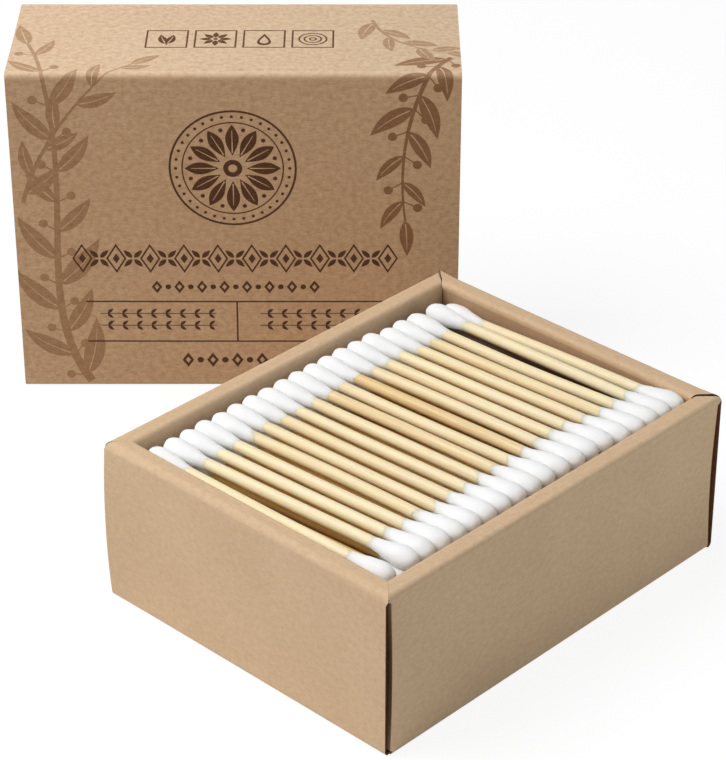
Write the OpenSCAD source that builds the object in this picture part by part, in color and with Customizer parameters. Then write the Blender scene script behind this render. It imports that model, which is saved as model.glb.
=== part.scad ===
// An opened pack of cotton swabs: a folded card tray full of swabs, and its card sleeve standing behind it.
// The swabs set the size of the tray, and the tray sets the size of the sleeve.

/* [Swab] */
// Length of a swab over both heads
swab_len = 72; // [60:1:90]
// Diameter of the bamboo stick
stick_d = 2.7; // [1.8:0.1:3]
// Diameter of a cotton head where it is widest
head_d = 4.45; // [3.8:0.05:5.2]
// Length of a cotton head, from its round end to its neck
head_len = 13.5; // [11:0.5:18]
// How far the widest place of a head lies from its round end
head_crown = 4; // [3.5:0.1:6]
// Radius of the small flat on the round end of a head
nose_r = 0.4; // [0.2:0.05:0.8]
// Thickness of the cotton at the neck
neck_wall = 0.14; // [0.1:0.02:0.3]
// Cotton over the end of the stick
tip_cover = 1.2; // [0.8:0.1:2]
// Play between the stick and the cotton
stick_play = 0.02; // [0.01:0.01:0.05]

/* [Filling] */
// Swabs in one layer
per_layer = 20; // [8:1:20]
// Layers of swabs, the top one included
layers = 10; // [3:1:10]
// Gap that is kept between two heads
head_gap = 0.08; // [0.04:0.01:0.2]
// Loose space beside each swab of a lower layer
row_slack = 0.1; // [0.1:0.05:0.6]
// Gap between the heads and the inner panels at both ends of a swab
end_gap = 1.95; // [1.5:0.05:4]
// Gap between the outermost heads and the inner panels beside them
side_gap = 0.15; // [0.1:0.05:1]
// Gap between the lowest swabs and the floor of the tray
floor_gap = 0.05; // [0.02:0.01:0.2]
// Angle at which the swabs of the lower layers lie in the tray
lean = 4; // [0:0.5:5]
// Angle at which most swabs of the top layer lie
top_lean = 3.2; // [0:0.1:4]
// Angle of the first swab of the top layer, which lies straighter
first_lean = 1.2; // [0:0.1:2]
// Angle of the last swab but one of the top layer
pair_lean = 1.3; // [0:0.1:2]
// Angle of the last swab of the top layer, which has sunk in at the back
last_lean = 0.4; // [0:0.1:1]
// Gap between the first and the second swab of the top layer at the back
first_gap = 0.3; // [0:0.05:0.6]
// Gap in front of the last two swabs of the top layer, at the front ends
loose_gap = 0.05; // [0:0.05:0.5]
// How many of the last swabs of the top layer have slid forward
slid_swabs = 5; // [0:1:8]
// How far they have slid
slide_run = 1.2; // [0:0.1:1.4]
// Place of the swab that is missing from the layer below the top one, counted from the end
missing_place = 2; // [2:1:6]
// Space between the highest head and the rim
headroom = 0.3; // [0.1:0.1:6]

/* [Card] */
// Thickness of the card
card = 0.4; // [0.3:0.05:0.55]
// Outer radius of a fold
fold_r = 1.1; // [0.8:0.1:1.6]
// Width of the rim, which is the thickness of the hollow wall
rim_w = 4.9; // [4:0.1:8]
// Open seam between two rims that meet in a mitre
seam = 0.16; // [0.1:0.02:0.4]
// Length of the corner tabs inside the short walls
tab_len = 20; // [8:1:30]
// Slope cut off the corners of a tab
tab_slope = 3; // [1:0.5:6]
// Gap between a corner tab and the panel that covers it
tab_gap = 0.15; // [0.1:0.05:0.3]
// How far the cut edge of a short panel stays back from the corner
cut_inset = 0.9; // [0.5:0.1:2]
// Gap under the foot of an inner panel
foot_gap = 0.1; // [0.05:0.05:0.5]

/* [Sleeve] */
// Play of the tray in the sleeve on each side
slide_gap = 0.1; // [0.1:0.05:1]
// Width of the glue flap inside the back panel
flap_w = 14; // [8:1:25]
// How far the cut edge of the back panel stays above the lower edge
edge_lift = 0.15; // [0.1:0.05:0.5]
// Distance from the far corner of the tray to the sleeve
sleeve_gap = 13; // [5:1:60]
// How far the sleeve reaches past the left corner of the tray
sleeve_reach = 29; // [0:1:60]
// Angle at which the tray stands to the sleeve
tray_turn = 46.2; // [30:0.2:60]

/* [Hidden] */
$fn = 48;
lower = layers - 1;
// A head is widest this far from the middle of the swab.
reach = swab_len / 2 - head_crown;
// The smallest distance between the middles of two heads.
clear = head_d + head_gap;
pitch = clear + row_slack;
lean_run = reach * tan(lean);
first_x = side_gap + head_d / 2 + lean_run;
inner_l = 2 * first_x + (per_layer - 0.5) * pitch;
inner_w = swab_len + 2 * end_gap;
// Each layer lies in the hollows of the one below.
layer_step = sqrt(pow(clear, 2) - pow(pitch / 2, 2));
first_z = card + floor_gap + head_d / 2;
tray_l = inner_l + 2 * rim_w;
tray_w = inner_w + 2 * rim_w;
tray_h = first_z + (lower - 1) * layer_step + clear + head_d / 2 + headroom;
tab_in = card + tab_gap;

sleeve_l = tray_l;
sleeve_h = tray_w + 2 * (slide_gap + card);
sleeve_d = tray_h + 2 * slide_gap + 3 * card;

// The near corner of the tray stands at the start of the layout, and the whole is then centred.
sleeve_x = -tray_w * sin(tray_turn) - sleeve_reach;
sleeve_y = tray_l * sin(tray_turn) + tray_w * cos(tray_turn) + sleeve_gap;
middle_x = (sleeve_x + (tray_l - tab_in) * cos(tray_turn)) / 2;
middle_y = (sleeve_y + sleeve_d + tab_in * sin(tray_turn)) / 2;

kraft = [0.74, 0.60, 0.46];
bamboo = [0.88, 0.78, 0.58];
cotton = [0.96, 0.96, 0.95];

function two_digits(n) = n < 10 ? str("0", n) : str(n);
top_stick_names = [for (k = [1:per_layer]) str("top_stick_", two_digits(k))];
top_heads_names = [for (k = [1:per_layer]) str("top_heads_", two_digits(k))];
sticks_names = [for (j = [1:lower]) str("sticks_layer_", j)];
heads_names = [for (j = [1:lower]) str("heads_layer_", j)];

// Where the swabs lie. Side is 1 at the front ends and -1 at the back ends, and x runs along the tray.
function row_x(j, k) = first_x + (k + 0.5 * (j % 2)) * pitch;
function row_z(j) = first_z + (j - 1) * layer_step;

function kept(j, k) = j < lower || k != per_layer - missing_place;
function layer_x(j) = [for (k = [0:per_layer - 1]) if (kept(j, k)) row_x(j, k)];

last_x = inner_l - side_gap - head_d / 2 - reach * tan(last_lean);
pair_x = last_x - clear - reach * (tan(pair_lean) - tan(last_lean));
start_x = side_gap + head_d / 2 + reach * tan(first_lean);
group_x = start_x + clear + first_gap + reach * (tan(top_lean) - tan(first_lean));
group_end = pair_x - clear - loose_gap - reach * (tan(top_lean) - tan(pair_lean));
function place_lean(k) = k == 0 ? first_lean : k == per_layer - 1 ? last_lean
    : k == per_layer - 2 ? pair_lean : top_lean;
function top_x(k) = k == 0 ? start_x : k == per_layer - 1 ? last_x : k == per_layer - 2 ? pair_x
    : group_x + (k - 1) * (group_end - group_x) / (per_layer - 4);
function top_slide(k) = k >= per_layer - slid_swabs ? slide_run : 0;

// Each end of a top swab rests on the heads below it, so its height follows from how far it lies beside the
// nearest one. The first swab is held level by the long wall.
function end_x(k, side) = top_x(k) + side * reach * tan(place_lean(k));
function below_x(k, side) =
    let (place = (end_x(k, side) - side * lean_run - row_x(lower, 0)) / pitch)
    row_x(lower, max(0, min(per_layer - 1, round(place)))) + side * lean_run;
function rise(k, side) = sqrt(max(0, pow(clear, 2) - pow(end_x(k, side) - below_x(k, side), 2)));
function end_rise(k, side) = k == 0 ? max(rise(k, 1), rise(k, -1)) : rise(k, side);
function top_z(k) = row_z(lower) + (end_rise(k, 1) + end_rise(k, -1)) / 2;
function top_tilt(k) = atan((end_rise(k, 1) - end_rise(k, -1)) / (2 * reach));

// Outline of a head from its round end at 0 to its neck, as radius and distance from the end.
neck_r = stick_d / 2 + stick_play + neck_wall;
crown_steps = 4;
taper_steps = 5;
crown_points = [for (i = [1:crown_steps]) let (a = 90 * i / crown_steps)
    [max(nose_r, head_d / 2 * pow(sin(a), 0.8)), head_crown * (1 - cos(a))]];
taper_points = [for (i = [1:taper_steps]) let (t = i / taper_steps)
    [neck_r + (head_d / 2 - neck_r) * (1 + cos(180 * pow(t, 0.85))) / 2,
     head_crown + (head_len - head_crown) * t]];

module head() {
    bore_r = stick_d / 2 + stick_play;
    rotate_extrude()
        polygon(concat([[0, 0], [nose_r, 0]], crown_points, taper_points,
            [[bore_r, head_len], [bore_r, tip_cover], [0, tip_cover]]));
}

// A swab lies along Y, with its middle at the origin.
module stick() {
    rotate([90, 0, 0]) cylinder(d = stick_d, h = swab_len - 2 * tip_cover, center = true);
}

module heads() {
    for (side = [0, 180]) rotate([0, 0, side]) translate([0, -swab_len / 2, 0]) rotate([-90, 0, 0]) head();
}

module in_layout() {
    translate([-middle_x, -middle_y, 0]) rotate([0, 0, tray_turn]) children();
}

// Lays swabs inside the tray, at a height and an angle. The middle of each lies at its x, half way across.
module laid(places, z, turn) {
    in_layout() translate([rim_w, tray_w / 2, z]) rotate([0, 0, turn])
        for (x = places) translate([x * cos(turn), -x * sin(turn), 0]) children();
}

module sticks_layer(j) {
    color(bamboo) laid(layer_x(j), row_z(j), lean) stick();
}

module heads_layer(j) {
    color(cotton) laid(layer_x(j), row_z(j), lean) heads();
}

module on_top(k) {
    laid([top_x(k)], top_z(k), place_lean(k)) translate([0, -top_slide(k), 0]) rotate([-top_tilt(k), 0, 0])
        children();
}

module top_stick(k) {
    color(bamboo) on_top(k) stick();
}

module top_heads(k) {
    color(cotton) on_top(k) heads();
}

// A quarter turn of card about [x, y], from the given angle on.
module fold(x, y, from) {
    translate([x, y]) rotate(from) intersection() {
        difference() {
            circle(fold_r);
            circle(fold_r - card);
        }
        square(fold_r + card);
    }
}

// Section of a rolled wall above its outer panel: fold, rim, fold and inner panel. X is the distance from
// the outer face.
module rim_section() {
    fold(fold_r, tray_h - fold_r, 90);
    translate([fold_r, tray_h - card]) square([rim_w - 2 * fold_r, card]);
    fold(rim_w - fold_r, tray_h - fold_r, 0);
    translate([rim_w - card, card + foot_gap]) square([card, tray_h - fold_r - card - foot_gap]);
}

// Section of the outer panel and the fold that joins it to the floor.
module panel_section() {
    translate([0, fold_r]) square([card, tray_h - 2 * fold_r]);
    fold(fold_r, fold_r, 180);
}

// Extrudes a wall section along X, from one end to the other, with its outer face at Y = 0.
module along(start, end) {
    translate([start, 0, 0]) rotate([90, 0, 90]) linear_extrude(end - start) children();
}

// One rim with its inner panel, cut at both ends by the mitres.
module rim(length, inset) {
    gap = seam / sqrt(2);
    intersection() {
        along(inset, length - inset) rim_section();
        translate([0, 0, -1]) linear_extrude(tray_h + 2)
            polygon([[gap, 0], [length - gap, 0], [length - gap - 2 * rim_w, 2 * rim_w],
                [gap + 2 * rim_w, 2 * rim_w]]);
    }
}

// The tab that turns the corner and lies behind the outer panel of the short wall.
module corner_tab() {
    low = fold_r + tab_gap;
    high = tray_h - fold_r - tab_gap;
    translate([0, 0, low]) linear_extrude(high - low) fold(tab_in + fold_r, fold_r, 180);
    translate([tab_in, fold_r, 0]) rotate([90, 0, 90]) linear_extrude(card)
        polygon([[0, low], [tab_len - tab_slope, low], [tab_len, low + 2 * tab_slope],
            [tab_len, high - 2 * tab_slope], [tab_len - tab_slope, high], [0, high]]);
}

module long_wall() {
    bend = tab_in + fold_r;
    rim(tray_l, tab_in);
    along(bend, tray_l - bend) panel_section();
    corner_tab();
    translate([tray_l, 0, 0]) mirror([1, 0, 0]) corner_tab();
}

module short_wall() {
    rim(tray_w, cut_inset);
    along(cut_inset, tray_w - cut_inset) panel_section();
}

module tray() {
    color(kraft) in_layout() {
        translate([fold_r, fold_r, 0]) cube([tray_l - 2 * fold_r, tray_w - 2 * fold_r, card]);
        long_wall();
        translate([0, tray_w, 0]) mirror([0, 1, 0]) long_wall();
        translate([0, tray_w, 0]) rotate([0, 0, -90]) short_wall();
        translate([tray_l, 0, 0]) rotate([0, 0, 90]) short_wall();
    }
}

// Section of the sleeve, standing on its long narrow side: X is its depth and Y its height. The bottom panel
// ends in a flap that is glued inside the back panel.
module sleeve_section() {
    in_back = sleeve_d - card;
    translate([0, fold_r]) square([card, sleeve_h - 2 * fold_r]);
    fold(fold_r, sleeve_h - fold_r, 90);
    translate([fold_r, sleeve_h - card]) square([sleeve_d - 2 * fold_r, card]);
    fold(sleeve_d - fold_r, sleeve_h - fold_r, 0);
    translate([in_back, edge_lift]) square([card, sleeve_h - fold_r - edge_lift]);
    translate([in_back - card, fold_r]) square([card, flap_w - fold_r]);
    fold(in_back - fold_r, fold_r, 270);
    translate([fold_r, 0]) square([in_back - 2 * fold_r, card]);
    fold(fold_r, fold_r, 180);
}

module sleeve() {
    color(kraft) translate([sleeve_x - middle_x, sleeve_y - middle_y, 0])
        rotate([90, 0, 90]) linear_extrude(sleeve_l) sleeve_section();
}

tray();
sleeve();
for (j = [1:lower]) {
    sticks_layer(j);
    heads_layer(j);
}
for (k = [0:per_layer - 1]) {
    top_stick(k);
    top_heads(k);
}
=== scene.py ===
# An opened pack of cotton swabs: a folded card tray full of swabs, with its printed card sleeve behind it.
import math
import bpy
import numpy as np
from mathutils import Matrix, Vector, noise
from mathutils.geometry import delaunay_2d_cdt


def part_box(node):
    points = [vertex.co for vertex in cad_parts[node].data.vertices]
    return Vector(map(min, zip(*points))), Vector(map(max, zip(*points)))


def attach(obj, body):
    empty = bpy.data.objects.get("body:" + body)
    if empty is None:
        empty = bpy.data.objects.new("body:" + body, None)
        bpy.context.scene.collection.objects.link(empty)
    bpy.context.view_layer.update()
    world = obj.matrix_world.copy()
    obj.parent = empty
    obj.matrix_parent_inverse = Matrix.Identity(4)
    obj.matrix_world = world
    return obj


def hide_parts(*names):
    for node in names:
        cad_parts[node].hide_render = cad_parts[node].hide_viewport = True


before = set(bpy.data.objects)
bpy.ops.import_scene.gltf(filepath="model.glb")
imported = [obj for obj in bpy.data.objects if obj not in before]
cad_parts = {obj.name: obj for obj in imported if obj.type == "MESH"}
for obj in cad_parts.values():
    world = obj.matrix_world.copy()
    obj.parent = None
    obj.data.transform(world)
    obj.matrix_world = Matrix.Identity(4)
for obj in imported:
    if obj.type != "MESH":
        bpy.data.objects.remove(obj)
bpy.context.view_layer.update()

mm = 0.001
scene = bpy.context.scene

# Sizes in millimetres and angles in degrees. The swabs set the tray, and the tray sets the sleeve.
swab = dict(length=72, stick=2.7, head=4.45, headLength=13.5, crown=4, tipCover=2.2, neckWall=-0.12,
            perLayer=20, layers=10)
packing = dict(headGap=0.08, rowSlack=0.1, endGap=1.95, sideGap=0.15, lean=4, topLean=3.2, firstLean=1.2,
               pairLean=1.3, lastLean=0.4, firstGap=0.3, looseGap=0.05, missingPlace=2)
board = dict(thick=0.4, fold=1.1, rim=4.9, foot=0.5, sharp=math.radians(42))

clear = swab["head"] + packing["headGap"]
pitch = clear + packing["rowSlack"]
reach = swab["length"] / 2 - swab["crown"]  # from a swab's middle to where its heads are widest
sideRoom = packing["sideGap"] + swab["head"] / 2
leanRun = reach * math.tan(math.radians(packing["lean"]))
firstX = sideRoom + leanRun
innerLength = 2 * firstX + (swab["perLayer"] - 0.5) * pitch
trayLength = innerLength + 2 * board["rim"]
trayWidth = swab["length"] + 2 * packing["endGap"] + 2 * board["rim"]
trayLow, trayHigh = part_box("tray")
trayHeight = (trayHigh.z - trayLow.z) / mm
trayTurn = math.radians(46.2)
alongTray = np.array([math.cos(trayTurn), math.sin(trayTurn)])
acrossTray = np.array([-math.sin(trayTurn), math.cos(trayTurn)])
trayMiddle = np.array((trayLow + trayHigh) / 2)[:2]
trayCorner = trayMiddle - mm * (alongTray * trayLength + acrossTray * trayWidth) / 2
sleeveLow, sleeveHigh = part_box("sleeve")


def inTray(points):
    # From millimetres in the tray's own directions to metres in the shared frame
    points = np.asarray(points, float)
    flat = trayCorner + mm * (points[:, :1] * alongTray + points[:, 1:2] * acrossTray)
    return np.column_stack([flat, points[:, 2] * mm + trayLow.z])


def inSleeve(points):
    # From millimetres along, into and up the sleeve, counted from its lower left front corner
    return np.array(sleeveLow) + mm * np.asarray(points, float)


# Mesh helpers

def show(name, data):
    made = bpy.data.objects.new(name, data)
    scene.collection.objects.link(made)
    return made


def realMesh(made):
    # The mesh of an object with its modifiers applied
    bpy.context.view_layer.update()
    shown = bpy.context.evaluated_depsgraph_get()
    return bpy.data.meshes.new_from_object(made.evaluated_get(shown), depsgraph=shown)


def paint(mesh, name, values, domain="POINT"):
    # Stores a number or a vector for each point or face
    values = np.asarray(values, np.float32)
    kind, field = ("FLOAT", "value") if values.ndim == 1 else ("FLOAT_VECTOR", "vector")
    mesh.attributes.new(name, kind, domain).data.foreach_set(field, values.ravel())


# Node helpers

def setSocket(tree, socket, value):
    if isinstance(value, bpy.types.NodeSocket):
        tree.links.new(value, socket)
    elif value is not None:
        socket.default_value = value


def putNode(tree, kind, inputs=None, **settings):
    made = tree.nodes.new(kind)
    for name, value in settings.items():
        setattr(made, name, value)
    for name, value in (inputs or {}).items():
        setSocket(tree, made.inputs[name], value)
    return made


def calc(tree, operation, first, second=None, third=None):
    return putNode(tree, "ShaderNodeMath", {0: first, 1: second, 2: third}, operation=operation).outputs[0]


def times(tree, first, second):
    return calc(tree, "MULTIPLY", first, second)


def spread(tree, value, low, high, toLow=0.0, toHigh=1.0):
    # Maps the values from low to high onto the given range and cuts off the rest
    return putNode(tree, "ShaderNodeMapRange", {"Value": value, "From Min": low, "From Max": high,
                                                "To Min": toLow, "To Max": toHigh}).outputs["Result"]


def mixColour(tree, factor, first, second, blend="MIX"):
    return putNode(tree, "ShaderNodeMix", {0: factor, 6: first, 7: second}, data_type="RGBA",
                   blend_type=blend).outputs[2]


def layered(tree, colour, look, layers):
    # Lays the look's colours over one another, each with its cover and its share
    for cover, share, tint in layers:
        colour = mixColour(tree, times(tree, cover, share), colour, look[tint])
    return colour


def cloud(tree, place, scale, detail=2.0, rough=0.5, warp=0.0):
    return putNode(tree, "ShaderNodeTexNoise", {"Vector": place, "Scale": scale, "Detail": detail,
                                                "Roughness": rough, "Distortion": warp}).outputs["Fac"]


def stretched(tree, place, scale, turn=0.0):
    return putNode(tree, "ShaderNodeMapping", {"Vector": place, "Scale": scale,
                                               "Rotation": (0, 0, math.radians(turn))}).outputs[0]


def seenDirectly(tree):
    # 1 for rays from the camera or a mirror, and 0 for the light that falls on things
    rays = putNode(tree, "ShaderNodeLightPath").outputs
    return calc(tree, "MAXIMUM", rays["Is Camera Ray"],
                calc(tree, "MAXIMUM", rays["Is Glossy Ray"], rays["Is Transmission Ray"]))


def painted(tree, name):
    # The value of a mesh attribute
    return putNode(tree, "ShaderNodeAttribute", attribute_name=name).outputs["Fac"]


def objectPlace(tree):
    return putNode(tree, "ShaderNodeTexCoord").outputs["Object"]


def finishShader(tree, shader, colour, height, distance, strength):
    setSocket(tree, shader.inputs["Base Color"], colour)
    setSocket(tree, shader.inputs["Normal"], putNode(tree, "ShaderNodeBump", {
        "Height": height, "Distance": distance, "Strength": strength}).outputs[0])


def shade(srgb):
    # A colour as it is read off a screen, from 0 to 255, as the linear values that Blender holds
    parts = [c / 255 for c in srgb]
    return tuple(c / 12.92 if c <= 0.04045 else ((c + 0.055) / 1.055) ** 2.4 for c in parts) + (1.0,)


def newMaterial(name, rough, specular=0.35, **more):
    material = bpy.data.materials.new(name)
    material.use_nodes = True
    tree = material.node_tree
    shader = tree.nodes["Principled BSDF"]
    shader.inputs["Roughness"].default_value = rough
    shader.inputs["Specular IOR Level"].default_value = specular
    for socket, value in more.items():
        shader.inputs[socket.replace("_", " ")].default_value = value
    return material, tree, shader


# The board: brown kraft with its fibres, its specks, its rubbed folds that also carry a painted highlight, and
# painted shade in its recesses

kraftLook = dict(
    base=shade((214, 183, 148)), deep=shade((187, 153, 117)), pale=shade((232, 205, 174)),
    speckDark=shade((128, 92, 60)), wearAndPaintedLight=shade((228, 200, 167)), hollow=shade((125, 80, 45)),
    topRun=(1.400, 1.425), paintedTopLight=(1.05, 1.07, 1.12, 1),
    blotch=5, mottle=70, grain=330, speck=150, fibreLong=28, fibreFine=420, fibreTurns=(12, 68, 121, 163),
    bump=0.000035,
    inks=((0.2, (0.66, 0.575, 0.50, 1)), (0.5, (0.46, 0.345, 0.265, 1)), (0.8, (0.155, 0.085, 0.045, 1))))


def fibres(tree, place, turn, low, high):
    # Fibres that lie in one direction, as streaks where a drawn-out noise passes a level
    look = kraftLook
    laid = stretched(tree, place, (look["fibreLong"], look["fibreFine"], 1), turn)
    streak = cloud(tree, laid, 1.0, 2.0, 0.6, 0.35)
    return spread(tree, streak, low, high)


def kraftColour(tree, place, grit):
    look = kraftLook
    blotch = spread(tree, cloud(tree, place, look["blotch"], 3, 0.55), 0.3, 0.7)
    mottle = spread(tree, cloud(tree, place, look["mottle"], 4, 0.7), 0.34, 0.66)
    layers = [(blotch, 0.28, "deep"), (mottle, 0.26 * grit, "deep"),
              (calc(tree, "SUBTRACT", 1.0, mottle), 0.20 * grit, "pale")]
    for turn in look["fibreTurns"]:
        layers += [(fibres(tree, place, turn, 0.62, 0.72), 0.30 * grit, "pale"),
                   (fibres(tree, place, turn + 23, 0.63, 0.74), 0.34 * grit, "deep")]
    # Dark specks lie in a few of many small cells.
    cells = putNode(tree, "ShaderNodeTexVoronoi", {"Vector": place, "Scale": look["speck"]}).outputs
    chance = putNode(tree, "ShaderNodeSeparateColor", {"Color": cells["Color"]}).outputs[0]
    speck = times(tree, spread(tree, cells["Distance"], 0.20, 0.10), calc(tree, "GREATER_THAN", chance, 0.86))
    return layered(tree, look["base"], look, layers + [(speck, 0.55, "speckDark")]), mottle


def boardHeight(tree, place, mottle, wearAndShade):
    height = calc(tree, "MULTIPLY_ADD", cloud(tree, place, kraftLook["grain"], 3, 0.65), 0.7,
                  times(tree, mottle, 0.5))
    for turn in (12, 121):
        height = calc(tree, "MULTIPLY_ADD", fibres(tree, place, turn, 0.58, 0.74), 0.4, height)
    wrinkle = cloud(tree, stretched(tree, place, (30, 300, 1)), 1.0, 3, 0.7)
    return calc(tree, "MULTIPLY_ADD", times(tree, wrinkle, wearAndShade), 2.2, height)


def kraftMaterial(name, printed=False, tint=(1, 1, 1), grit=1.0, wear=0.3):
    material, tree, shader = newMaterial(name, 0.82, 0.28)
    look = kraftLook
    place = putNode(tree, "ShaderNodeUVMap", uv_map="sheet").outputs[0]
    wearAndShade = painted(tree, "wearAndShade")
    colour, mottle = kraftColour(tree, place, grit)
    # Folds are rubbed paler. This is real wear, and on the sleeve, whose wear is full, it also stands as a painted
    # highlight along the folds.
    rubbed = times(tree, wearAndShade, spread(tree, cloud(tree, place, 45, 3, 0.7), 0.35, 0.7, 0.1, 0.75))
    colour = mixColour(tree, times(tree, rubbed, wear), colour, look["wearAndPaintedLight"])
    tint = tuple(tint) + (1,)
    if printed:
        tones = putNode(tree, "ShaderNodeValToRGB", {"Fac": painted(tree, "ink")})
        ramp = tones.color_ramp
        ramp.interpolation = "CONSTANT"
        ramp.elements.remove(ramp.elements[1])
        ramp.elements[0].color = (1, 1, 1, 1)
        for at, tone in look["inks"]:
            ramp.elements.new(at).color = tone
        # Ink lies thinner on raised fibres and is rubbed off a little on the folds.
        cover = calc(tree, "SUBTRACT", spread(tree, cloud(tree, place, 260, 2, 0.6), 0.74, 0.62, 0.55, 1.0),
                     times(tree, rubbed, 0.35))
        colour = mixColour(tree, cover, colour, tones.outputs[0], "MULTIPLY")
        # Painted light: the top of the sleeve is painted paler than its front, as though lit more.
        along = putNode(tree, "ShaderNodeSeparateXYZ", {"Vector": place}).outputs["Y"]
        tint = mixColour(tree, spread(tree, along, *look["topRun"]), tint, look["paintedTopLight"])
    colour = mixColour(tree, 1.0, colour, tint, "MULTIPLY")
    # Painted shade: where the fold value is below nothing, the board lies in a recess and is painted darker.
    colour = mixColour(tree, spread(tree, wearAndShade, 0.0, -1.0, 0.0, 0.9), colour, look["hollow"])
    finishShader(tree, shader, colour, boardHeight(tree, place, mottle, wearAndShade), look["bump"], 0.28 * grit)
    return material


def cutEdgeMaterial(name, low, high):
    # The cut edge of the board shows its plies as faint lines.
    material, tree, shader = newMaterial(name, 0.9, 0.2)
    flake = cloud(tree, stretched(tree, objectPlace(tree), (900, 900, 2600)), 1.0, 3, 0.7)
    colour = mixColour(tree, spread(tree, flake, 0.35, 0.65), shade(low), shade(high))
    finishShader(tree, shader, colour, flake, 0.00003, 0.8)
    return material


kraft = kraftMaterial("kraftBoard")
printedKraft = kraftMaterial("printedKraft", printed=True, tint=(0.80, 0.71, 0.635), grit=2.4, wear=1.0)
kraftInside = kraftMaterial("kraftInside", tint=(0.93, 0.88, 0.81))
# The inner side of the tray's card shows only in the dark hollow at its corners, so its colour is darkened as painted
# shade.
shadedKraftInside = kraftMaterial("shadedKraftInside", tint=(0.36, 0.20, 0.12))
cutEdge = cutEdgeMaterial("cutEdge", (128, 96, 66), (180, 146, 112))
# A dark copy of the cut edge for the short walls' edges: painted shade.
shadedEdge = cutEdgeMaterial("shadedEdge", (58, 37, 22), (82, 55, 34))
print("materials of the board made")


# Sheets of board

def arc(y, z, radius, start, end, wearAndShade, steps=6):
    angles = np.radians(np.linspace(start, end, steps + 1))
    return [(y + radius * math.cos(a), z + radius * math.sin(a), wearAndShade) for a in angles]


def steps(start, end, count, wearAndShade=0.0):
    # Points between two places, the ends left out, as rows of a flat stretch
    return [tuple(np.array(start) + (np.array(end) - np.array(start)) * k / (count + 1)) + (wearAndShade,)
            for k in range(1, count + 1)]


def pathRuns(flat):
    # How far along a section each of its points lies
    return np.concatenate([[0], np.cumsum(np.linalg.norm(np.diff(flat, axis=0), axis=1))])


def leftNormals(flat):
    ahead = np.diff(flat, axis=0)
    ahead /= np.linalg.norm(ahead, axis=1)[:, None]
    joined = np.vstack([ahead[:1], ahead[:-1] + ahead[1:], ahead[-1:]])
    joined /= np.linalg.norm(joined, axis=1)[:, None]
    return np.column_stack([-joined[:, 1], joined[:, 0]])


def addSlab(book, path, span, place, columns, lift=None, edgeSlot=2):
    # A sheet along a section path: its outer side, its inner side and its cut edges, closed all round
    flat = np.array([p[:2] for p in path], float)
    outer, inner = [], []
    # Each point's value rubs a fold paler where it is above nothing and paints shade where it is below.
    for (y, z, wearAndPaintedLight), normal, run in zip(path, leftNormals(flat), pathRuns(flat)):
        for u in np.linspace(*span(y, z), columns + 1):
            rise = lift(u, y, z) if lift else 0.0
            for side, off in ((outer, rise), (inner, rise - board["thick"])):
                side.append((u, y + normal[0] * off, z + normal[1] * off))
            book["uvs"].append((u / 100, run / 100))
            book["wearAndShade"].append(wearAndPaintedLight)
    grid = np.arange(len(outer)).reshape(len(path), columns + 1)
    faces, slots = [], []
    for i, j in np.ndindex(len(path) - 1, columns):
        ring = [grid[i, j], grid[i, j + 1], grid[i + 1, j + 1], grid[i + 1, j]]
        faces += [ring, [k + len(outer) for k in reversed(ring)]]
        slots += [0, 1]
    border = [*grid[0, :-1], *grid[:-1, -1], *grid[-1, :0:-1], *grid[:0:-1, 0]]
    for a, b in zip(border, border[1:] + border[:1]):
        faces.append([b, a, a + len(outer), b + len(outer)])
        slots.append(edgeSlot)
    points = place(np.array(outer + inner))
    volume = sum(np.dot(points[f[0]], np.cross(points[f[k]], points[f[k + 1]]))
                 for f in faces for k in range(1, len(f) - 1))
    if volume < 0:
        faces = [f[::-1] for f in faces]
    first = len(book["points"])
    book["points"] += points.tolist()
    book["faces"] += [[int(k) + first for k in f] for f in faces]
    for label in ("uvs", "wearAndShade"):
        book[label] += book[label][-len(outer):]
    book["slots"] += slots


def paintSheet(mesh, uvs, wearAndShade, materials):
    # The flat sheet as a UV map, the wear of its folds and its painted light and shade, and its materials
    layer = mesh.uv_layers.new(name="sheet")
    corner = np.zeros(len(mesh.loops), np.int32)
    mesh.loops.foreach_get("vertex_index", corner)
    layer.data.foreach_set("uv", np.array(uvs, np.float32)[corner].ravel())
    paint(mesh, "wearAndShade", wearAndShade)
    for material in materials:
        mesh.materials.append(material)
    mesh.polygons.foreach_set("use_smooth", [True] * len(mesh.polygons))


def finishSheet(name, book, materials):
    mesh = bpy.data.meshes.new(name)
    mesh.from_pydata(book["points"], [], book["faces"])
    paintSheet(mesh, book["uvs"], book["wearAndShade"], materials)
    mesh.polygons.foreach_set("material_index", book["slots"])
    mesh.set_sharp_from_angle(angle=board["sharp"])
    return show(name, mesh)


# The tray: four walls rolled over into a hollow rim, their corner tabs and the floor

trayCard = dict(
    flat=0.9, innerBow=0.35, ripple=0.05, rippleSize=17, tabIn=1.0, tabLength=20, tabPlay=0.15, tabFold=0.35,
    seamClosed=0.02, seamOpen=0.19, seamWobble=0.10, curl=0.30, curlReach=7, cornerRound=0.15, rimInset=0.12,
    tabSwing=1.4, tabPull=(0.15, 0.9), tabShade=(0.75, 1.0), tabFoldWearAndShade=(0.2, -1.0), flareReach=16, shadeReach=2.5,
    seamTop=2, seamStart=0.35)
plainWall = dict(slants=(0, 0), flare=0.0, innerShade=0.05)
longWall = dict(plainWall, length=trayLength, bow=0.22, over=-0.3, top=1.25, tabs=True, edgeSlot=2,
                ends=(trayCard["tabIn"] + trayCard["tabFold"],) * 2, pulls=trayCard["tabPull"])
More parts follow.
